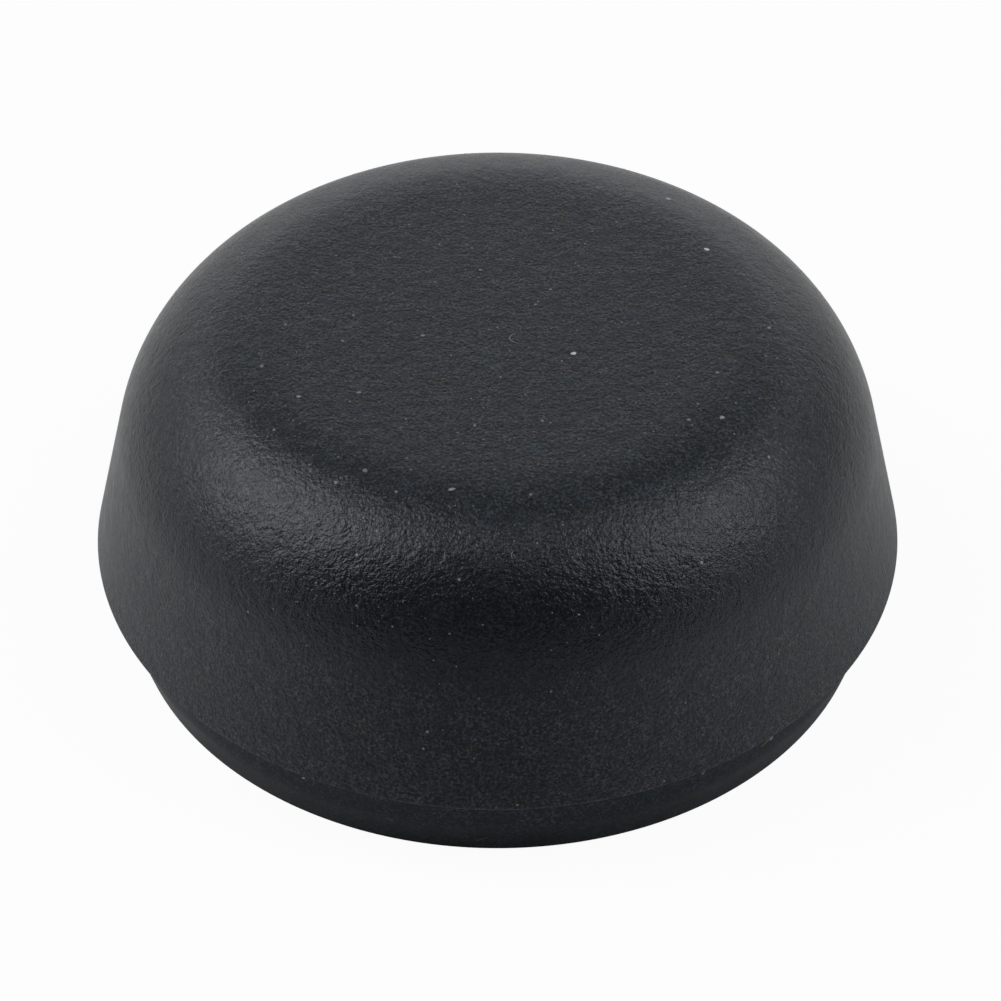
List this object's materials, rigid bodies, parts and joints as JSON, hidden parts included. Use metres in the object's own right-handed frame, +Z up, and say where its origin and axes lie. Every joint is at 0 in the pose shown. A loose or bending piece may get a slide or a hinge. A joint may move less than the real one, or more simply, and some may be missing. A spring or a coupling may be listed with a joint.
{
  "type": "wiper arm cap",
  "caption": "Round domed push-on cap that covers the nut of a wiper arm: grained skirt and flat top over a smooth stepped spigot, hollow and ribbed inside.",
  "frame": {"origin": "centre of the spigot's rim, on the surface that the cap stands on", "axes": "+Z up through the flat top; X and Y lie in the rim's plane, with a rib's bay centred on +X"},
  "size_m": [0.025, 0.025, 0.0107],
  "materials": {
    "cap_plastic": "black, fine moulded grain on the skirt and top, smooth spigot and inside"
  },
  "bodies": {
    "root": {"wiper_arm_cap": "cap_plastic"}
  },
  "joints": []
}
